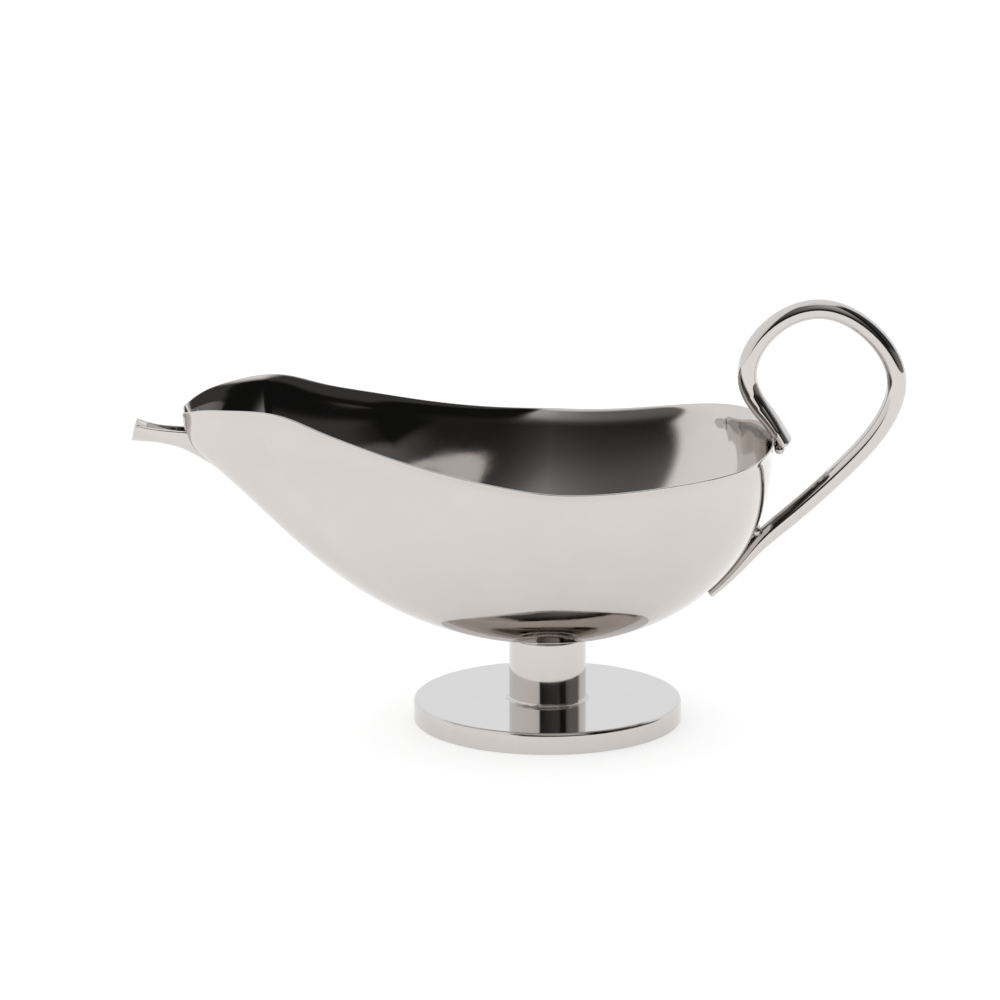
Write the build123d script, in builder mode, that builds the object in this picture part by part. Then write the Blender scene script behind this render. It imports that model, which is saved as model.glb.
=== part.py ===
import os
from math import cos, exp, pi, sin, sqrt

from build123d import *

os.makedirs("parts", exist_ok=True)

# The boat stands on z = 0, centred on its foot, with the pouring lip toward -X
# and the handle toward +X.  All sizes are in millimetres.

# ---- bowl -------------------------------------------------------------------
sheet = 1.0                # wall of the pressed bowl
seat_radius = 10.0         # flat on the underside, the size of the stem
seat_height = 23.4         # underside of that flat
widest_height = 72.0       # level of the lowest part of the rim, amidships
blank_height = 90.0        # top of the pressing before the rim is trimmed
side_swell = 34.0          # how far the sides grow beyond the seat
back_swell = 48.3          # how far the back grows beyond the seat
keel_swell = 55.0          # how far the keel grows beyond the seat, low down
keel_lean = 15.0           # extra reach of the keel, rising evenly with height
keel_sweep = 11.0          # extra reach that comes in near the nose
nose_run_out = 3.4         # last reach of the nose above the widest level
nose_rate = 0.367          # how fast that last reach is used up, per mm
beam_shift = 2.0           # at that level the widest station lies this far behind the stem axis
side_lean = 0.58           # 1 stands the sides upright at the rim, less leans them outward
side_spread_above = 0.24   # opening of the sides above the widest level, per mm
end_blend = 0.5            # share of the forward half where the two ends run into each other
nose_pinch = 0.33          # narrowing of the waterlines toward the nose
nose_tight = 0.20          # further narrowing of the nose at the widest level
nose_tight_height = 16.0   # height above that level at which it has faded out
pinch_end = 0.78           # share of the forward half over which it comes in
back_bulge = 0.60          # fullness of the waterlines at the back
waterline_points = 36      # points round one waterline

# ---- rim line seen from the side: (x, z) ------------------------------------
rim_line = [(-94, 82.7), (-89.6, 84.8), (-83, 86.2), (-74, 87.0), (-67, 86.2), (-59, 83.5), (-50, 80.8),
            (-34, 76.7), (-10, 72.6), (13, 71.6), (39, 74.1), (66, 77.1)]
lip_top_line = [(-112, 80.3), (-107, 79.4), (-101, 78.2), (-95.6, 77.6)]
trim_top = 100.0           # the trimming block reaches this high
trim_reach = 60.0          # and this far to each side

# ---- pouring lip: x, underside height, half width ----------------------------
lip_stations = [(-80, 64.7, 2.0), (-84, 66.3, 2.7), (-88, 68.9, 3.2), (-91.5, 71.0, 3.3),
                (-95, 72.7, 3.2), (-101, 74.1, 3.2), (-109, 74.7, 4.6)]
lip_wall = 0.9
lip_ceiling = 86.0         # the channel is drawn open up to this height
lip_tip_top = -106.9       # x of the cut end at the top
lip_tip_bottom = -108.3    # x of the cut end at the bottom

# ---- stem and foot ------------------------------------------------------------
stem_radius = 10.0
stem_wall = 1.6
foot_radius = 34.8
foot_height = 5.7
foot_sheet = 1.2
foot_edge = 0.9            # rounding of the upper edge of the foot
foot_lower_edge = 0.4      # rounding of the lower edge of the foot
foot_hem = 3.0             # width of the rim the foot stands on
braze = 1.3                # leg of the brazed fillets

# ---- handle -------------------------------------------------------------------
# x, z of the rod's centre: flattened upper end, finger loop, run down to the tail
pad_line = [(61.0, 74.4), (57.5, 80.0), (53.5, 85.4)]
loop_line = [(51.55, 90.4), (57.3, 104.2), (70.4, 109.5), (84.0, 102.6), (89.95, 90.6), (85.7, 78.1)]
tail_line = [(78.4, 69.3), (70.6, 61.6), (62.8, 54.6), (54.6, 47.2), (49.8, 41.6), (45.0, 36.6),
             (42.2, 34.1)]
rod_radius = 2.6
# share of the rod's length, half width, half thickness
pad_sections = [(0.0, 4.6, 1.9), (0.025, 4.5, 1.95), (0.05, 3.7, 2.2), (0.075, 2.9, 2.45),
                (0.1, rod_radius, rod_radius)]
tail_sections = [(0.83, rod_radius, rod_radius), (0.86, 2.7, 2.5), (0.9, 2.9, 2.1), (0.94, 3.1, 1.7),
                 (1.0, 3.4, 1.4)]

# ---- welds: x, z, radius, half length ------------------------------------------
upper_weld_bead = (59.8, 73.0, 1.3, 3.2)
lower_weld_bead = (53.9, 50.7, 1.2, 1.6)


# closed outline of the outside of the bowl at one height
def waterline(height):
    rise = min(1.0, (height - seat_height) / (widest_height - seat_height))
    over = max(0.0, height - widest_height)
    spread = sqrt(1 - (1 - rise) ** 2)
    belly = sqrt(1 - (1 - side_lean * rise) ** 2) / sqrt(1 - (1 - side_lean) ** 2)
    ease = rise * rise * (3 - 2 * rise)
    middle = beam_shift * rise
    half_width = seat_radius + side_swell * belly + side_spread_above * over
    aft = seat_radius + back_swell * spread - middle
    keel = keel_swell + keel_lean * rise + keel_sweep * rise ** 4
    fore = seat_radius + keel * spread + nose_run_out * (1 - exp(-nose_rate * over)) + middle
    points = []
    for step in range(waterline_points):
        turn = 2 * pi * step / waterline_points
        along = cos(turn)
        across = half_width * sin(turn)
        reach = aft
        if along < 0:
            near = min(1.0, -along / pinch_end)
            pinch = nose_pinch * near * near * (3 - 2 * near)
            pinch += nose_tight * near ** 5 * max(0.0, 1 - over / nose_tight_height)
            across *= 1 - pinch * ease
            blend = min(1.0, -along / end_blend)
            reach += (fore - aft) * blend * blend * (3 - 2 * blend)
        else:
            across *= 1 + back_bulge * ease * along ** 3
        points.append((middle + reach * along, across))
    return points


# heights of the waterlines, closest together where the bowl turns up from its seat
levels = [seat_height + rise for rise in (0, 0.4, 1.2, 2.7, 5.2, 8.7, 13.7, 20.7, 28.7, 37, 44)]
levels += [widest_height, 77, 83, blank_height]

with BuildPart() as hull:
    for level in levels:
        with BuildSketch(Plane.XY.offset(level)):
            with BuildLine():
                Spline(*waterline(level), periodic=True)
            make_face()
    loft()

# the inside of the bowl, one sheet in from the hull
with BuildPart() as cavity:
    add(hull.part)
    offset(amount=-sheet, mode=Mode.REPLACE)


# everything above the rim, seen from the side
with BuildPart() as above_rim:
    with BuildSketch(Plane.XZ):
        with BuildLine():
            lip_edge = Spline(*lip_top_line)
            nose_edge = Line(lip_edge @ 1, rim_line[0])
            rim_edge = Spline(*rim_line)
            Polyline(rim_edge @ 1, (rim_line[-1][0], trim_top), (lip_top_line[0][0], trim_top),
                     lip_edge @ 0)
        make_face()
    extrude(amount=trim_reach, both=True)


# upright U-shaped section of the pouring lip, open to the top
def lip_section(x, bottom, half_width):
    facing = Plane(origin=(x, 0, 0), x_dir=(0, 1, 0), z_dir=(1, 0, 0))
    with BuildSketch(facing) as section:
        with BuildLine():
            left = Line((-half_width, lip_ceiling), (-half_width, bottom + half_width))
            round_bottom = ThreePointArc(left @ 1, (0, bottom), (half_width, bottom + half_width))
            right = Line(round_bottom @ 1, (half_width, lip_ceiling))
            Line(right @ 1, left @ 0)
        make_face()
    return section.sketch


with BuildPart() as lip_outside:
    for x, bottom, half_width in lip_stations:
        add(lip_section(x, bottom, half_width))
    loft()
    with BuildSketch(Plane.XZ):
        with BuildLine():
            Polyline((lip_tip_top, lip_ceiling), (lip_tip_top, lip_top_line[1][1]),
                     (lip_tip_bottom, lip_stations[-1][1]), (lip_tip_bottom, lip_stations[0][1]),
                     (lip_top_line[0][0], lip_stations[0][1]), (lip_top_line[0][0], lip_ceiling),
                     close=True)
        make_face()
    extrude(amount=trim_reach, both=True, mode=Mode.SUBTRACT)

with BuildPart() as lip_channel:
    for x, bottom, half_width in lip_stations:
        add(lip_section(x, bottom + lip_wall, half_width - lip_wall))
    loft()

with BuildPart() as bowl:
    add(hull.part)
    add(lip_outside.part)
    add(cavity.part, mode=Mode.SUBTRACT)
    add(lip_channel.part, mode=Mode.SUBTRACT)
    add(above_rim.part, mode=Mode.SUBTRACT)

# the bowl filled solid up to the rim, for seating the handle and the joints
with BuildPart() as bowl_form:
    add(hull.part)
    add(above_rim.part, mode=Mode.SUBTRACT)

with BuildPart() as foot:
    with BuildSketch(Plane.XZ):
        with BuildLine():
            Polyline((0, foot_height), (foot_radius, foot_height), (foot_radius, 0),
                     (foot_radius - foot_hem, 0), (foot_radius - foot_hem, foot_sheet),
                     (foot_radius - foot_sheet, foot_sheet),
                     (foot_radius - foot_sheet, foot_height - foot_sheet),
                     (0, foot_height - foot_sheet), close=True)
        make_face()
    revolve(axis=Axis.Z)
    top_edge = foot.edges().filter_by(GeomType.CIRCLE).group_by(Axis.Z)[-1]
    fillet(top_edge.sort_by(SortBy.RADIUS)[-1], radius=foot_edge)
    standing_edge = foot.edges().filter_by(GeomType.CIRCLE).group_by(Axis.Z)[0]
    fillet(standing_edge.sort_by(SortBy.RADIUS)[-1], radius=foot_lower_edge)

with BuildPart() as stem:
    with BuildSketch(Plane.XY.offset(foot_height)):
        Circle(stem_radius)
        Circle(stem_radius - stem_wall, mode=Mode.SUBTRACT)
    extrude(amount=seat_height - foot_height)

# concave ring of braze where the stem stands on the foot
with BuildPart() as foot_braze:
    with BuildSketch(Plane.XZ):
        with BuildLine():
            corner = (stem_radius, foot_height)
            outward = Line(corner, (stem_radius + braze, foot_height))
            hollow = RadiusArc(outward @ 1, (stem_radius, foot_height + braze), braze)
            Line(hollow @ 1, corner)
        make_face()
    revolve(axis=Axis.Z)

# concave ring of braze under the bowl, trimmed to the underside of the bowl
with BuildPart() as bowl_braze:
    with BuildSketch(Plane.XZ):
        with BuildLine():
            corner = (stem_radius, seat_height - braze)
            hollow = RadiusArc(corner, (stem_radius + braze, seat_height), braze)
            Polyline(hollow @ 1, (stem_radius + braze, seat_height + braze),
                     (stem_radius, seat_height + braze), corner)
        make_face()
    revolve(axis=Axis.Z)
    add(bowl_form.part, mode=Mode.SUBTRACT)


# bent rod: pad over the back of the rim, loop, straight run, tail down the back of the bowl
rod_line = pad_line + loop_line + tail_line

with BuildPart() as handle:
    with BuildLine(Plane.XZ, mode=Mode.PRIVATE):
        centre = Spline(*rod_line)
    # flattened pad, from its end up to the round rod
    for share, half_width, half_thickness in pad_sections:
        with BuildSketch(Plane(origin=centre @ share, x_dir=(0, 1, 0), z_dir=centre % share)):
            Ellipse(half_width, half_thickness)
    loft()
    # flattened tail, from the round rod down to its cut end
    for share, half_width, half_thickness in tail_sections:
        with BuildSketch(Plane(origin=centre @ share, x_dir=(0, 1, 0), z_dir=centre % share)):
            Ellipse(half_width, half_thickness)
    loft()
    # round rod between the two
    pad_share = pad_sections[-1][0]
    tail_share = tail_sections[0][0]
    with BuildLine():
        add(centre.trim(pad_share, tail_share))
    with BuildSketch(Plane(origin=centre @ pad_share, x_dir=(0, 1, 0), z_dir=centre % pad_share)):
        Circle(rod_radius)
    sweep()
    add(bowl_form.part, mode=Mode.SUBTRACT)


# short bead of weld laid across the handle against the back of the bowl
def weld_bead(x, z, radius, half_length):
    with BuildPart() as bead:
        with BuildSketch(Plane(origin=(x, 0, z), x_dir=(0, 1, 0), z_dir=(1, 0, 0))):
            with BuildLine():
                first = RadiusArc((-half_length - radius, 0), (-half_length, radius), radius)
                crown = Line(first @ 1, (half_length, radius))
                last = RadiusArc(crown @ 1, (half_length + radius, 0), radius)
                Line(last @ 1, first @ 0)
            make_face()
        revolve(axis=Axis((x, 0, z), (0, 1, 0)))
        add(bowl_form.part, mode=Mode.SUBTRACT)
        add(handle.part, mode=Mode.SUBTRACT)
    return bead.part


with BuildPart() as upper_weld:
    add(weld_bead(*upper_weld_bead))

with BuildPart() as lower_weld:
    add(weld_bead(*lower_weld_bead))

pieces = {
    "bowl": bowl,
    "handle": handle,
    "stem": stem,
    "foot": foot,
    "bowl_braze": bowl_braze,
    "foot_braze": foot_braze,
    "upper_weld": upper_weld,
    "lower_weld": lower_weld,
}
for name, piece in pieces.items():
    piece.part.label = name
    export_step(piece.part, f"parts/{name}.step")
    box = piece.part.bounding_box()
    print(name, len(piece.solids()), piece.part.is_valid, round(piece.part.volume, 1),
          [round(v, 2) for v in (*box.min, *box.max)])
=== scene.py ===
import bpy
import math
import numpy as np
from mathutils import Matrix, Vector


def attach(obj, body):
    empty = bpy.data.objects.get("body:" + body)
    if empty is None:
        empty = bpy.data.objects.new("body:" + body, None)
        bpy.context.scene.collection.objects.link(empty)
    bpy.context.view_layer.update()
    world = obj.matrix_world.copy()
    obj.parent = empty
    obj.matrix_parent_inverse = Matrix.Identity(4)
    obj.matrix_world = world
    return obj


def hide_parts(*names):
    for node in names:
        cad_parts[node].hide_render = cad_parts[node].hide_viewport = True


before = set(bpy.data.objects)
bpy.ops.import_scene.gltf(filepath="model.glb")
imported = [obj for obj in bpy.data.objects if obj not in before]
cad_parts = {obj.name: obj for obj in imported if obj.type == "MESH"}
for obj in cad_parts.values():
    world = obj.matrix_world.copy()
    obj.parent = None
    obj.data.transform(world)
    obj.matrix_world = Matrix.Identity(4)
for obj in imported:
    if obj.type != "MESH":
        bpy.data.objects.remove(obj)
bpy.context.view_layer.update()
mm = 0.001      # every size below is in millimetres, and makeMesh turns it to metres
print("frame loaded,", len(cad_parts), "nodes")


def hexToLinear(code):
    # sRGB hex to the linear values that the shaders want
    values = [int(code[i:i + 2], 16) / 255 for i in (1, 3, 5)]
    return (*[v / 12.92 if v <= 0.04045 else ((v + 0.055) / 1.055) ** 2.4 for v in values], 1.0)


def addNode(tree, kind, settings=None, values=None, links=None):
    # one node with its settings, the values on its sockets and the outputs that feed it
    node = tree.nodes.new(kind)
    for key, value in (settings or {}).items():
        setattr(node, key, value)
    for key, value in (values or {}).items():
        node.inputs[key].default_value = value
    for key, source in (links or {}).items():
        tree.links.new(source, node.inputs[key])
    return node


def emptyMaterial(name):
    mat = bpy.data.materials.new(name)
    mat.use_nodes = True
    mat.node_tree.nodes.clear()
    return mat, mat.node_tree


steelLook = {
    "colour": "#D3CECA",      # warm grey of polished 18/10 stainless
    "handled": "#CBC6C2",     # a shade darker in the wiped patches
    "roughness": 0.035,
    "smear": 0.05,            # extra roughness in the wiped patches
    "patchMm": 100 / 7,       # width of those patches, about a fingertip
    "patchFrom": 0.42, "patchFull": 0.72,     # noise levels where a patch starts and is complete
    "hairlineMm": 0.25,       # spacing of the buffing lines, coarser than the real ones so they show
    "hairlineRatio": 60,      # how many times longer than wide a line is
    "hairlineAxis": "Z",      # the way the lines run
    "hairlineDepth": 0.012, "hairlineRise": 0.2,
    "hairlineRoughness": 0.03,
    "waveMm": 26.0,           # slow unevenness left by pressing and hand buffing
    "waveDepth": 0.02, "waveRise": 4.0,
}
rodLook = {**steelLook, "waveDepth": 0.0, "hairlineDepth": 0.008, "hairlineAxis": "X"}
weldLook = {**steelLook, "colour": "#C9C4BD", "roughness": 0.16, "smear": 0.14, "hairlineMm": 0.4,
            "hairlineDepth": 0.08, "waveMm": 2.5, "waveDepth": 0.12}


def buffedStainless(name, look):
    # stainless steel worked over with a buffing wheel, from near mirror to satin as the look says
    mat, tree = emptyMaterial(name)
    place = addNode(tree, "ShaderNodeTexCoord").outputs["Object"]
    # buffing lines: noise stretched along one axis, squeezed across the others
    fine = 1000 / look["hairlineMm"]
    stretch = [fine, fine, fine]
    stretch["XYZ".index(look["hairlineAxis"])] = fine / look["hairlineRatio"]
    squeeze = addNode(tree, "ShaderNodeMapping", {"vector_type": "POINT"}, {"Scale": stretch},
                      {"Vector": place})
    lines = addNode(tree, "ShaderNodeTexNoise", None, {"Scale": 1.0, "Detail": 3.0},
                    {"Vector": squeeze.outputs[0]})
    # pressing waves, centimetres wide on the sheet and a few millimetres on the welds
    waves = addNode(tree, "ShaderNodeTexNoise", None, {"Scale": 1000 / look["waveMm"], "Detail": 1.0},
                    {"Vector": place})
    # wiped patches that dull and darken the polish a little
    patches = addNode(tree, "ShaderNodeTexNoise", None,
                      {"Scale": 1000 / look["patchMm"], "Detail": 5.0, "Roughness": 0.6}, {"Vector": place})
    dull = addNode(tree, "ShaderNodeMapRange", None,
                   {"From Min": look["patchFrom"], "From Max": look["patchFull"],
                    "To Min": look["roughness"], "To Max": look["roughness"] + look["smear"]},
                   {"Value": patches.outputs[0]})
    rough = addNode(tree, "ShaderNodeMath", {"operation": "MULTIPLY_ADD"}, {1: look["hairlineRoughness"]},
                    {0: lines.outputs[0], 2: dull.outputs[0]})
    tone = addNode(tree, "ShaderNodeMix", {"data_type": "RGBA"},
                   {6: hexToLinear(look["colour"]), 7: hexToLinear(look["handled"])}, {0: patches.outputs[0]})
    scored = addNode(tree, "ShaderNodeBump", None,
                     {"Strength": look["hairlineDepth"], "Distance": look["hairlineRise"] * mm},
                     {"Height": lines.outputs[0]})
    uneven = addNode(tree, "ShaderNodeBump", None,
                     {"Strength": look["waveDepth"], "Distance": look["waveRise"] * mm},
                     {"Height": waves.outputs[0], "Normal": scored.outputs[0]})
    metal = addNode(tree, "ShaderNodeBsdfPrincipled", None, {"Metallic": 1.0},
                    {"Base Color": tone.outputs[2], "Roughness": rough.outputs[0],
                     "Normal": uneven.outputs[0]})
    addNode(tree, "ShaderNodeOutputMaterial", None, None, {"Surface": metal.outputs[0]})
    return mat


# pressed sheet buffed to a mirror: sharp dark and light reflections that sway a little over the pressing
steel = buffedStainless("mirrorPolishedStainless", steelLook)
# drawn rod buffed along its length: long unbroken highlights that follow the bends
rodSteel = buffedStainless("bentRodStainless", rodLook)
# braze and weld metal, buffed but not polished out: a softer, greyer glint on an uneven skin
weldSteel = buffedStainless("buffedWeldStainless", weldLook)
print("stainless steels ready")


def splineThrough(ts, values):
    # natural cubic spline through the values, returned as a function
    ts = np.asarray(ts, float)
    values = np.asarray(values, float)
    h = np.diff(ts)
    n = len(ts)
    a = np.zeros((n, n))
    b = np.zeros((n,) + values.shape[1:])
    a[0, 0] = a[-1, -1] = 1
    for i in range(1, n - 1):
        a[i, i - 1], a[i, i], a[i, i + 1] = h[i - 1], 2 * (h[i - 1] + h[i]), h[i]
        b[i] = 3 * ((values[i + 1] - values[i]) / h[i] - (values[i] - values[i - 1]) / h[i - 1])
    c = np.linalg.solve(a, b)

    def at(t):
        i = int(np.clip(np.searchsorted(ts, t) - 1, 0, n - 2))
        d = t - ts[i]
        slope = (values[i + 1] - values[i]) / h[i] - h[i] * (2 * c[i] + c[i + 1]) / 3
        return values[i] + slope * d + c[i] * d * d + (c[i + 1] - c[i]) / (3 * h[i]) * d ** 3
    return at


def ramp(value, low, high):
    # 0 up to low, 1 from high on, eased between them
    t = min(1.0, max(0.0, (value - low) / (high - low)))
    return t * t * (3 - 2 * t)


def makeMesh(name, points, faces, mat):
    # points come in millimetres
    mesh = bpy.data.meshes.new(name)
    mesh.from_pydata([tuple(v * mm for v in p) for p in points], [], faces)
    mesh.update()
    piece = bpy.data.objects.new(name, mesh)
    bpy.context.collection.objects.link(piece)
    mesh.materials.append(mat)
    for poly in mesh.polygons:
        poly.use_smooth = True
    return piece


def gridFaces(rows, columns, flip=False):
    # quads over rings of points that close on themselves
    faces = []
    for r in range(rows - 1):
        for c in range(columns):
            d = (c + 1) % columns
            quad = (r * columns + c, r * columns + d, (r + 1) * columns + d, (r + 1) * columns + c)
            faces.append(quad[::-1] if flip else quad)
    return faces


bowlShape = {
    "seatRadius": 10.0, "seatHeight": 23.4,   # where the stem meets the bowl
    "widestHeight": 72.0,
    "sheet": 1.0,
    "sideSwell": 34.0, "backSwell": 48.3, "keelSwell": 55.0,      # growth past the seat, seat to widest
    "keelLean": 15.0, "keelSweep": 11.0,      # extra reach forward, evenly and mostly near the top
    "noseRunOut": 3.4, "noseRate": 0.367,     # the nose runs on a little above the widest level
    "beamShift": 2.0,         # the widest station moves this far toward the handle on the way up
    "nosePinch": 0.33, "pinchFrom": 0.02, "pinchEnd": 0.78,       # narrowing from the widest station forward
    "noseTight": 0.20, "noseTightHeight": 16.0,                   # more of it at the very nose, fading upward
    "backBulge": 0.60,        # fuller quarters toward the handle
    "endBlend": 0.5,          # front and back blend over this share of the forward half
    "sideLean": 0.58,         # 1 gives upright sides at the rim, less lets them lean outward
    "sideSpreadAbove": 0.24,  # how fast the sides go on opening above the widest level
    "flareHeight": 2.2, "flareOut": 0.7, "flareTilt": 0.5,        # out-turned edge along the rim
    "rimThin": 0.5, "rimThinHeight": 3.0,     # share of the sheet polished away at the edge, over this height
    "notchHalfWidth": 2.4, "notchRound": 0.8, "notchFloor": 71.2,  # opening in the nose for the lip channel
    # rim seen from the side, (x, z) from the nose to the back
    "rimLine": [(-94, 82.7), (-89.6, 84.8), (-83, 86.2), (-74, 87.0), (-67, 86.2), (-59, 83.5), (-50, 80.8),
                (-34, 76.7), (-10, 72.6), (13, 71.6), (39, 74.1), (66, 77.1)],
    "columns": 420, "rows": 90,
    "crowding": 0.62,         # columns drawn together near the nose, where the notch is narrow
    "edgeSteps": 6,           # facets round the half-round rim edge
}
rimHeightAt = splineThrough(*zip(*bowlShape["rimLine"]))


def hullPoint(turn, height):
    # outside of the bowl at one height, turn 0 at the back and pi at the nose
    b = bowlShape
    rise = min(1.0, max(0.0, (height - b["seatHeight"]) / (b["widestHeight"] - b["seatHeight"])))
    spread = math.sqrt(max(0.0, 1 - (1 - rise) ** 2))
    ease = rise * rise * (3 - 2 * rise)
    middle = b["beamShift"] * rise
    over = max(0.0, height - b["widestHeight"])
    along = math.cos(turn)
    lean = b["sideLean"]
    belly = math.sqrt(1 - (1 - lean * rise) ** 2) / math.sqrt(1 - (1 - lean) ** 2)
    across = (b["seatRadius"] + b["sideSwell"] * belly + b["sideSpreadAbove"] * over) * math.sin(turn)
    aft = b["seatRadius"] + b["backSwell"] * spread - middle
    near = min(1.0, max(0.0, (b["pinchFrom"] - along) / (b["pinchEnd"] + b["pinchFrom"])))
    pinch = b["nosePinch"] * near * near * (3 - 2 * near)
    if along >= 0:
        across *= (1 + b["backBulge"] * ease * along ** 3) * (1 - pinch * ease)
        return Vector((middle + aft * along, across, height))
    pinch += b["noseTight"] * near ** 5 * max(0.0, 1 - over / b["noseTightHeight"])
    across *= 1 - pinch * ease
    keel = b["keelSwell"] + b["keelLean"] * rise + b["keelSweep"] * rise ** 4
    runOut = b["noseRunOut"] * (1 - math.exp(-b["noseRate"] * over))
    fore = b["seatRadius"] + keel * spread + runOut + middle
    # the front half takes over gradually, which keeps the sides fair
    reach = aft + (fore - aft) * ramp(-along, 0, b["endBlend"])
    return Vector((middle + reach * along, across, height))


def rimTop(turn):
    # height of the rim above one column, and how much of it the notch at the nose leaves
    b = bowlShape
    z = b["rimLine"][-1][1]
    for _ in range(12):      # the height moves the point along, so it settles in a few rounds
        z = float(rimHeightAt(max(b["rimLine"][0][0], hullPoint(turn, z).x)))
    keep = 1.0
    if math.cos(turn) < 0:
        keep = ramp(abs(hullPoint(turn, z).y), b["notchHalfWidth"], b["notchHalfWidth"] + b["notchRound"])
        z = b["notchFloor"] + (z - b["notchFloor"]) * keep
    return z, keep


def bowlSkin():
    # rings up the outside of the bowl, and the way each point faces
    b = bowlShape
    upright = Vector((0, 0, 1))
    turnStep = 0.01          # how far off the neighbours are that give the facing, in radians
    heightStep = 0.02        # and in millimetres
    hair = 1e-4
    turns = []
    for i in range(b["columns"]):
        u = 2 * math.pi * i / b["columns"]
        turns.append(u + b["crowding"] * math.sin(u) * (0.5 - 0.5 * math.cos(u)) ** 2)
    tops = [rimTop(turn) for turn in turns]
    rings = []
    facings = []
    for r in range(b["rows"] + 1):
        share = 1 - math.cos(r / b["rows"] * math.pi / 2)      # closer rows low down, where it is flat
        ring = []
        facing = []
        for turn, (top, keep) in zip(turns, tops):
            z = b["seatHeight"] + (top - b["sheet"] / 4 - b["seatHeight"]) * share
            z = max(z, b["seatHeight"] + hair)
            lower = max(b["seatHeight"] + hair / 10, z - heightStep)
            sideways = hullPoint(turn + turnStep, z) - hullPoint(turn - turnStep, z)
            upward = hullPoint(turn, z + heightStep) - hullPoint(turn, lower)
            n = sideways.cross(upward).normalized()
            flare = keep * max(0.0, 1 - (top - z) / b["flareHeight"])
            outward = Vector((n.x, n.y, 0)).normalized()
            ring.append(hullPoint(turn, z) + outward * b["flareOut"] * flare * flare)
            facing.append((n - upright * flare * b["flareTilt"]).normalized())
        rings.append(ring)
        facings.append(facing)
    return rings, facings


def buildBowl():
    # the whole pressing: outer skin, half-round rim edge, inner skin and the two faces of its floor
    b = bowlShape
    upright = Vector((0, 0, 1))
    rings, facings = bowlSkin()
    rim = rings[-1]
    verts = [p for ring in rings for p in ring]
    edge = b["sheet"] * (1 - b["rimThin"]) / 2
    for k in range(1, b["edgeSteps"]):
        a = math.pi * k / b["edgeSteps"]
        for p, n in zip(rim, facings[-1]):
            up = (upright - n * n.z).normalized()
            verts.append(p - n * edge + n * math.cos(a) * edge + up * math.sin(a) * edge)
    for ring, facing in zip(rings[::-1], facings[::-1]):
        for p, n, top in zip(ring, facing, rim):
            thin = max(0.0, 1 - (top.z - p.z) / b["rimThinHeight"])
            verts.append(p - n * b["sheet"] * (1 - b["rimThin"] * thin))
    columns = b["columns"]
    rows = len(verts) // columns
    faces = gridFaces(rows, columns)
    lowest = len(verts)
    verts += [Vector((0, 0, b["seatHeight"])), Vector((0, 0, b["seatHeight"] + b["sheet"]))]
    for c in range(columns):
        d = (c + 1) % columns
        faces.append((lowest, d, c))
        faces.append((lowest + 1, (rows - 1) * columns + c, (rows - 1) * columns + d))
    return makeMesh("pressedBowl", verts, faces, steel)


bowl = buildBowl()
print("bowl pressed,", len(bowl.data.polygons), "faces")


lipShape = {
    "wall": 0.9,
    # x, underside height, half width, top edge height, from inside the nose to the tip
    "stations": [(-80.0, 64.2, 1.9, 66.6), (-84.0, 66.3, 2.5, 70.2), (-88.0, 68.9, 3.1, 74.2),
                 (-91.5, 71.0, 3.3, 77.0), (-95.0, 72.7, 3.2, 77.7), (-98.0, 73.5, 3.1, 77.9),
                 (-101.0, 74.1, 3.1, 78.2), (-104.5, 74.4, 3.6, 78.8), (-107.6, 74.7, 4.5, 79.5)],
    "tipSlant": 1.3,          # the cut end leans back by this much from bottom to top
    "softEdge": 0.25, "softEdgeAngle": 50,
    "rings": 41, "around": 33,      # points along it, and round each of its two skins
}


def channelPoint(half, low, top, share):
    # one point on a U: straight sides above a round bottom, share 0 to 1 from edge to edge
    side = top - low - half
    length = math.pi * half + 2 * side
    d = length * share
    if d < side:
        return -half, top - d
    if d > length - side:
        return half, top - (length - d)
    a = (d - side) / half
    return -half * math.cos(a), low + half - half * math.sin(a)


def buildLip():
    # open channel: an outer and an inner U, joined along both edges and at both ends
    s = lipShape
    xs = [-station[0] for station in s["stations"]]
    at = splineThrough(xs, [station[1:] for station in s["stations"]])
    around = s["around"]
    verts = []
    for i in range(s["rings"]):
        u = i / (s["rings"] - 1)
        x = xs[0] + (xs[-1] - xs[0]) * u
        bottom, half, top = at(x)
        shares = [k / (around - 1) for k in range(around)]
        section = [channelPoint(half, bottom, top, share) for share in shares]
        section += [channelPoint(half - s["wall"], bottom + s["wall"], top, 1 - share) for share in shares]
        for y, z in section:
            slant = s["tipSlant"] * u ** 3 * (z - bottom) / (top - bottom)
            verts.append(Vector((-x + slant, y, z)))
    columns = 2 * around
    faces = gridFaces(s["rings"], columns, flip=True)
    last = (s["rings"] - 1) * columns
    for k in range(around - 1):
        faces.append((k, k + 1, columns - 2 - k, columns - 1 - k))
        faces.append((last + k + 1, last + k, last + columns - 1 - k, last + columns - 2 - k))
    piece = makeMesh("pouringLip", verts, faces, steel)
    edge = piece.modifiers.new("softEdge", "BEVEL")
    edge.width = s["softEdge"] * mm
    edge.segments = 2
    edge.angle_limit = math.radians(s["softEdgeAngle"])
    return piece


lip = buildLip()
print("pouring lip ready")


def turned(name, outline, mat, columns=256):
    # outline of (radius, height) points spun about the upright axis
    verts = []
    for radius, height in outline:
        for k in range(columns):
            a = 2 * math.pi * k / columns
            verts.append((radius * math.cos(a), radius * math.sin(a), height))
    return makeMesh(name, verts, gridFaces(len(outline), columns), mat)


def arcPoints(cx, cz, radius, start, end, steps=8):
    angles = [math.radians(start + (end - start) * k / steps) for k in range(steps + 1)]
    return [(cx + radius * math.cos(a), cz + radius * math.sin(a)) for a in angles]


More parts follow.
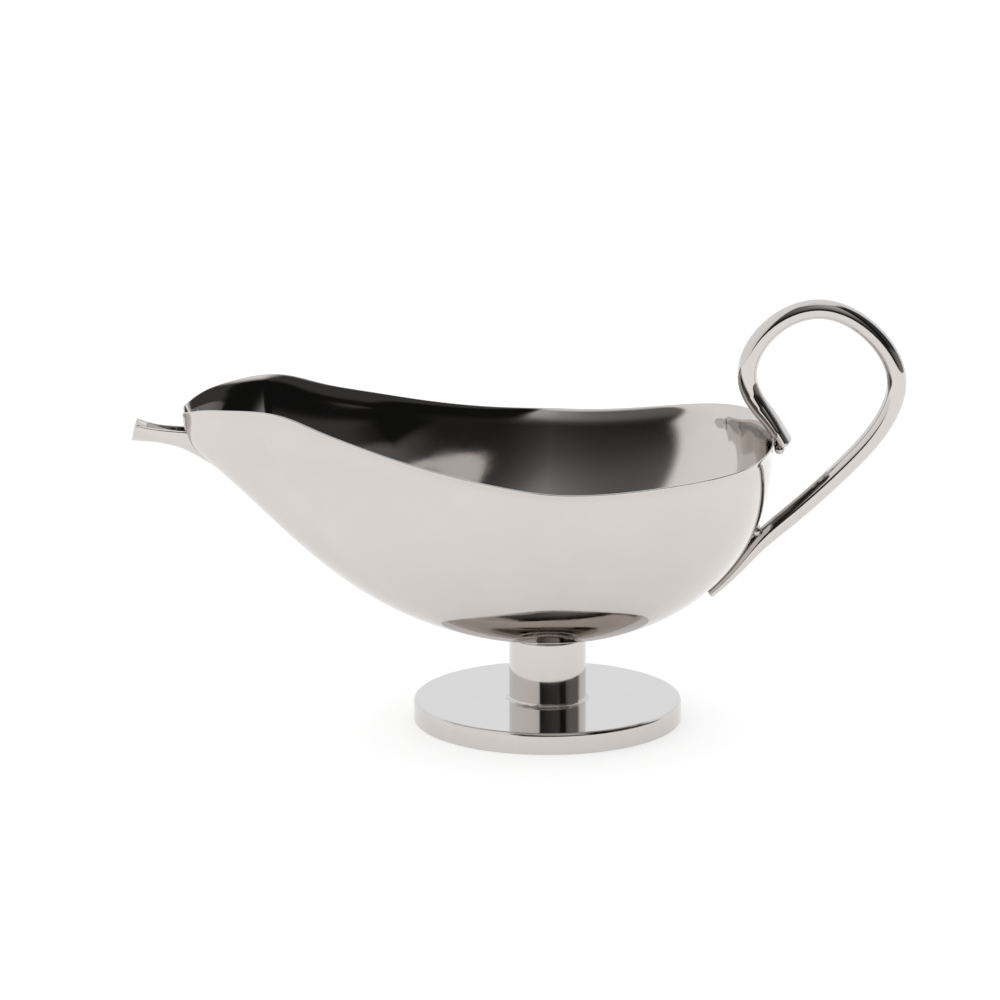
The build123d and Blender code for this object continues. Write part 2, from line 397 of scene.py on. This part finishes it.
footShape = {
    "radius": 34.8, "height": 5.7, "sheet": 1.2,
    "edge": 0.9, "lowerEdge": 0.45,           # rounding of the outer edges, above and below
    "hem": 3.0, "hemRound": 0.3, "hemFlat": 0.5,      # sheet turned in underneath, which the boat stands on
    "hemBend": (0.4, 0.1),                    # where the hem turns up inside: in from the wall, and up
    "corner": 0.6,                            # bends inside the disc
    "centre": 0.01,                           # radius of the pin hole that stands for the middle
    # rings that keep the flats flat when shaded
    "topRings": (8, 16, 24, 30), "sideRings": (3.2, 1.4), "innerRing": 20,
}


def footOutline():
    # from the middle of the top, round the edge, in under the hem and back along the inside
    f = footShape
    r, h, sheet, corner = f["radius"], f["height"], f["sheet"], f["corner"]
    hemEdge = r - f["hem"]
    wall = r - sheet
    line = [(radius, h) for radius in (f["centre"], *f["topRings"], r - f["edge"] - corner)]
    line += arcPoints(r - f["edge"], h - f["edge"], f["edge"], 90, 0, 10)
    line += [(r, z) for z in f["sideRings"]]
    line += arcPoints(r - f["lowerEdge"], f["lowerEdge"], f["lowerEdge"], 0, -90, 6)
    line += [(hemEdge + f["hemFlat"], 0)]
    line += arcPoints(hemEdge + f["hemRound"], f["hemRound"], f["hemRound"], 270, 180, 4)
    line += [(hemEdge, sheet), (wall - f["hemBend"][0], sheet + f["hemBend"][1]), (wall, sheet + corner)]
    line += [(wall, h - sheet - corner), (wall - corner, h - sheet)]
    line += [(radius, h - sheet) for radius in (f["innerRing"], f["centre"])]
    return line


stemShape = {
    "radius": 10.0,
    "sink": 0.05,             # runs this far into the foot and the bowl
    "rings": (8, 12, 16, 20),
}
footBrazeShape = {"leg": 0.8, "sink": 0.1}
bowlBrazeShape = {"leg": 1.3, "sink": 0.1, "lift": 0.05, "cap": 0.2}      # lifted into the bowl's underside

onFoot = footShape["height"]
seat = bowlShape["seatHeight"]
tube = stemShape["radius"]

foot = turned("pressedFoot", footOutline(), steel)
stem = turned("drawnStem", [(tube, z) for z in (onFoot - stemShape["sink"], *stemShape["rings"],
                                                seat + stemShape["sink"])], steel)


def buildFootBraze():
    leg, sink = footBrazeShape["leg"], footBrazeShape["sink"]
    hollow = arcPoints(tube + leg, onFoot + leg, leg, 270, 180)
    return turned("footBrazeRing", [(tube - sink, onFoot - sink), *hollow,
                                    (tube - sink, onFoot + leg + sink)], weldSteel)


def buildBowlBraze():
    leg, sink = bowlBrazeShape["leg"], bowlBrazeShape["sink"]
    hollow = arcPoints(tube + leg, seat + bowlBrazeShape["lift"] - leg, leg, 180, 90)
    return turned("bowlBrazeRing", [(tube - sink, seat - leg - sink), *hollow,
                                    (tube + leg, seat + bowlBrazeShape["cap"])], weldSteel)


footBraze = buildFootBraze()
bowlBraze = buildBowlBraze()
print("foot, stem and brazed rings ready")


rodShape = {
    # centre line of the rod, (x, z)
    "pad": [(61.0, 74.4), (57.5, 80.0), (53.5, 85.4)],
    "loop": [(51.55, 90.4), (57.3, 104.2), (70.4, 109.5), (84.0, 102.6), (89.95, 90.6), (85.7, 78.1)],
    "tail": [(78.4, 69.3), (70.6, 61.6), (62.8, 54.6), (54.6, 47.2), (49.8, 41.6), (45.0, 36.6),
             (42.2, 34.1)],
    # share of the length, half width, half thickness
    "sections": [(0.0, 4.6, 2.3), (0.025, 4.5, 2.3), (0.05, 3.7, 2.4), (0.075, 2.9, 2.5), (0.1, 2.6, 2.6),
                 (0.83, 2.6, 2.6), (0.86, 2.65, 2.5), (0.9, 2.9, 2.1), (0.94, 3.1, 1.7), (1.0, 3.4, 1.4)],
    "padDome": 1.2, "padTip": 0.05, "padSteps": 6,            # the pad's end is domed
    "tailDome": 0.3, "tailTip": 0.28, "tailSteps": 4,         # the tail is sawn off nearly square
    "rings": 420, "around": 40,
}


def buildHandle():
    s = rodShape
    points = np.array(s["pad"] + s["loop"] + s["tail"])
    ts = np.concatenate([[0], np.cumsum(np.linalg.norm(np.diff(points, axis=0), axis=1))])
    at = splineThrough(ts, points)
    end = ts[-1]
    shares, widths, depths = zip(*s["sections"])
    nearby = 0.05            # the rod's direction is read this far each side, in millimetres
    verts = []

    def addRing(t, size, ahead):
        # one section across the rod, moved ahead along it for the rounded ends
        x, z = at(t)
        q = at(min(end, t + nearby)) - at(max(0, t - nearby))
        q = q / np.linalg.norm(q)
        wide = np.interp(t / end, shares, widths) * size
        thick = np.interp(t / end, shares, depths) * size
        centre = Vector((x + q[0] * ahead, 0, z + q[1] * ahead))
        across = Vector((-q[1], 0, q[0]))
        for k in range(s["around"]):
            a = 2 * math.pi * k / s["around"]
            verts.append(centre + across * thick * math.cos(a) + Vector((0, wide * math.sin(a), 0)))

    for k in range(s["padSteps"]):
        a = math.pi / 2 * k / s["padSteps"]
        addRing(0, max(s["padTip"], math.sin(a)), -s["padDome"] * math.cos(a))
    for i in range(s["rings"] + 1):
        addRing(end * i / s["rings"], 1.0, 0.0)
    for k in range(1, s["tailSteps"] + 1):
        a = math.pi / 2 * k / s["tailSteps"]
        addRing(end, 1 - s["tailTip"] * (1 - math.cos(a)), s["tailDome"] * math.sin(a))
    count = len(verts) // s["around"]
    faces = gridFaces(count, s["around"])
    faces.append(tuple(range(s["around"] - 1, -1, -1)))
    faces.append(tuple(range((count - 1) * s["around"], count * s["around"])))
    return makeMesh("bentRodHandle", verts, faces, rodSteel)


handle = buildHandle()
print("handle bent")


upperBead = {"x": 59.8, "z": 73.0, "radius": 1.3, "halfLength": 3.2, "seed": 3}
lowerBead = {"x": 53.9, "z": 50.7, "radius": 1.2, "halfLength": 1.6, "seed": 5}
beadSkin = {"ripple": 0.05, "rippleRate": 1.9, "grain": 0.02, "rings": 28, "around": 20, "tip": 0.0004}


def weldBead(name, bead):
    # short run of weld across the boat, round at both ends, with a slightly rippled skin
    rng = np.random.default_rng(bead["seed"])
    radius, halfLength = bead["radius"], bead["halfLength"]
    rings, around = beadSkin["rings"], beadSkin["around"]
    verts = []
    for i in range(rings + 1):
        y = (-1 + 2 * i / rings) * (halfLength + radius)
        past = max(0.0, abs(y) - halfLength) / radius
        r = radius * math.sqrt(max(beadSkin["tip"], 1 - past ** 2))
        ripple = beadSkin["ripple"] * math.sin(i * beadSkin["rippleRate"])
        r *= 1 + ripple + beadSkin["grain"] * rng.standard_normal()
        for k in range(around):
            a = 2 * math.pi * k / around
            verts.append((bead["x"] + r * math.cos(a), y, bead["z"] + r * math.sin(a)))
    faces = gridFaces(rings + 1, around, flip=True)
    faces.append(tuple(range(around)))
    faces.append(tuple(rings * around + k for k in range(around - 1, -1, -1)))
    return makeMesh(name, verts, faces, weldSteel)


upperWeld = weldBead("upperWeldBead", upperBead)
lowerWeld = weldBead("lowerWeldBead", lowerBead)
print("welds ready")

# each piece with the node that it stands for and the name of its finish slot
stands = [(bowl, "bowl", "polished_steel"), (lip, "bowl", "polished_steel"), (foot, "foot", "polished_steel"),
          (stem, "stem", "polished_steel"), (handle, "handle", "polished_steel"),
          (footBraze, "foot_braze", "joint_metal"), (bowlBraze, "bowl_braze", "joint_metal"),
          (upperWeld, "upper_weld", "joint_metal"), (lowerWeld, "lower_weld", "joint_metal")]
for piece, node, slotName in stands:
    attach(piece, "root")
    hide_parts(node)
print(len(stands), "pieces stand for", len({node for _, node, _ in stands}), "nodes")


studio = {
    "worldLevel": 1.1,        # soft light from all round
    "floorColour": "#C4C4C4", "floorRoughness": 0.9,
    "floorGlow": 0.5,         # table lit from below as well, so the shadow under the foot stays faint
    "floorSize": 6000,
}


def matteWhiteTable():
    # matte white laminate: an even pale ground with no reflections in it
    mat, tree = emptyMaterial("matteWhiteTable")
    laminate = addNode(tree, "ShaderNodeBsdfPrincipled", None, {
        "Base Color": hexToLinear(studio["floorColour"]), "Roughness": studio["floorRoughness"],
        "Emission Color": (1, 1, 1, 1), "Emission Strength": studio["floorGlow"]})
    addNode(tree, "ShaderNodeOutputMaterial", None, None, {"Surface": laminate.outputs[0]})
    return mat


def setTable():
    world = bpy.data.worlds.new("softStudio")
    bpy.context.scene.world = world
    world.use_nodes = True
    background = world.node_tree.nodes["Background"]
    background.inputs[0].default_value = (1, 1, 1, 1)
    background.inputs[1].default_value = studio["worldLevel"]
    half = studio["floorSize"] / 2
    floor = makeMesh("tableTop", [(-half, -half, 0), (half, -half, 0), (half, half, 0), (-half, half, 0)],
                     [(0, 1, 2, 3)], matteWhiteTable())


# tones that the steel mirrors, all angles in degrees: round from the viewer toward the handle, and up
tentLook = {
    "radius": 2000, "lift": 50,
    "columns": 180, "rows": 62, "lowest": -2, "highest": 90,
    "walls": [(27, 0.88), (40, 0.95), (70, 1.0), (180, 1.03)],      # white cloth, by how far round it is
    "coolFrom": (90, 140), "coolTint": (-0.035, 0.0, 0.04),         # daylight from behind is a little cooler
    "opening": (-26, -21, 100, 118),          # the open front: starts, fully open, starts to close, closed
    "openingTop": (60, 72),
    "openingSlant": 0.5, "slantFrom": 13,     # its near edge runs back as it goes up
    # the dim room beyond, by height and by how far round
    "roomUp": [(5, 0.015), (10, 0.03), (15, 0.055), (20, 0.10), (25, 0.19), (30, 0.28), (36, 0.34),
               (50, 0.4)],
    "roomAcross": [(-22, 0.4), (-15, 0.5), (-5, 0.75), (10, 1.0), (28, 1.15)],
    "flag": (34, 41, 56, 61), "flagTone": 0.008,                    # black flag standing in it
    "flagLean": 0.3, "leanFrom": 30,
    "curtain": 0.05,                          # dark curtain past the flag
    "lowWall": [(40, 0.03), (46, 0.06), (52, 0.10), (60, 0.14), (70, 0.2)],     # low board before the curtain
    "lowWallTop": [(54, 13.0), (60, 17.5)], "lowWallFrom": (38, 44), "lowWallSoft": 1,
}


def level(value, points):
    # straight lines between (value, level) points
    return np.interp(value, *zip(*points))


def tentTone(azimuth, elevation):
    # brightness that the steel mirrors from one direction
    t = tentLook
    room = level(elevation, t["roomUp"]) * level(azimuth, t["roomAcross"])
    lean = t["flagLean"] * max(0.0, elevation - t["leanFrom"])
    start, full, fade, end = (v + lean for v in t["flag"])
    room += (t["flagTone"] - room) * ramp(azimuth, start, full)
    room += (t["curtain"] - room) * ramp(azimuth, fade, end)
    boardTop = level(azimuth, t["lowWallTop"])
    board = 1 - ramp(elevation, boardTop - t["lowWallSoft"], boardTop + t["lowWallSoft"])
    room += (level(azimuth, t["lowWall"]) - room) * board * ramp(azimuth, *t["lowWallFrom"])
    start, full, fade, end = t["opening"]
    slant = t["openingSlant"] * max(0.0, elevation - t["slantFrom"])
    opened = ramp(azimuth, start - slant, full - slant) * (1 - ramp(azimuth, fade, end))
    opened *= 1 - ramp(elevation, *t["openingTop"])
    wall = level(abs(azimuth), t["walls"])
    cool = ramp(abs(azimuth), *t["coolFrom"])
    return [(wall + (room - wall) * opened) * (1 + tint * cool) for tint in t["coolTint"]]


def whiteTentCloth():
    # lit cloth and the dim room: seen only in the steel, as soft bright walls and a dark opening
    mat, tree = emptyMaterial("whiteTentCloth")
    tone = addNode(tree, "ShaderNodeAttribute", {"attribute_name": "tone"})
    glow = addNode(tree, "ShaderNodeEmission", None, {"Strength": 1.0}, {"Color": tone.outputs["Color"]})
    addNode(tree, "ShaderNodeOutputMaterial", None, None, {"Surface": glow.outputs[0]})
    return mat


def pitchTent():
    # dome that only the steel mirrors: hidden from the camera, the soft light and the shadows
    t = tentLook
    verts = []
    tones = []
    for r in range(t["rows"] + 1):
        elevation = t["lowest"] + (t["highest"] - t["lowest"]) * r / t["rows"]
        e = math.radians(elevation)
        for c in range(t["columns"]):
            azimuth = -180 + 360 * c / t["columns"]
            a = math.radians(azimuth)
            reach = t["radius"] * math.cos(e)
            verts.append((reach * math.sin(a), -reach * math.cos(a), t["radius"] * math.sin(e) + t["lift"]))
            tones.append((*tentTone(azimuth, elevation), 1.0))
    tent = makeMesh("lightTent", verts, gridFaces(t["rows"] + 1, t["columns"]), whiteTentCloth())
    layer = tent.data.attributes.new("tone", "FLOAT_COLOR", "POINT")
    layer.data.foreach_set("color", np.array(tones, float).ravel())
    tent.visible_camera = False
    tent.visible_diffuse = False
    tent.visible_shadow = False


setTable()
pitchTent()
print("table and light tent ready")


view = {
    "elevation": 15.0, "distance": 3000,
    "field": 260.0,           # width of the frame at the boat
    "aimAcross": -12.35, "aimUp": 56.654,     # spot in the middle of the frame, from the foot, in its plane
    "sensor": 36, "farClip": 20000,
}


def placeCamera():
    cam = bpy.data.objects.new("camera", bpy.data.cameras.new("camera"))
    bpy.context.collection.objects.link(cam)
    cam.data.sensor_width = view["sensor"]
    cam.data.lens = view["sensor"] * view["distance"] / view["field"]
    cam.data.clip_end = view["farClip"] * mm
    e = math.radians(view["elevation"])
    up = Vector((0, math.sin(e), math.cos(e)))
    back = Vector((0, -math.cos(e), math.sin(e)))
    cam.location = (Vector((view["aimAcross"], 0, 0)) + up * view["aimUp"] + back * view["distance"]) * mm
    cam.rotation_euler = (math.radians(90 - view["elevation"]), 0, 0)
    bpy.context.scene.camera = cam


placeCamera()
bpy.context.scene.view_settings.view_transform = "Standard"
print("camera ready")
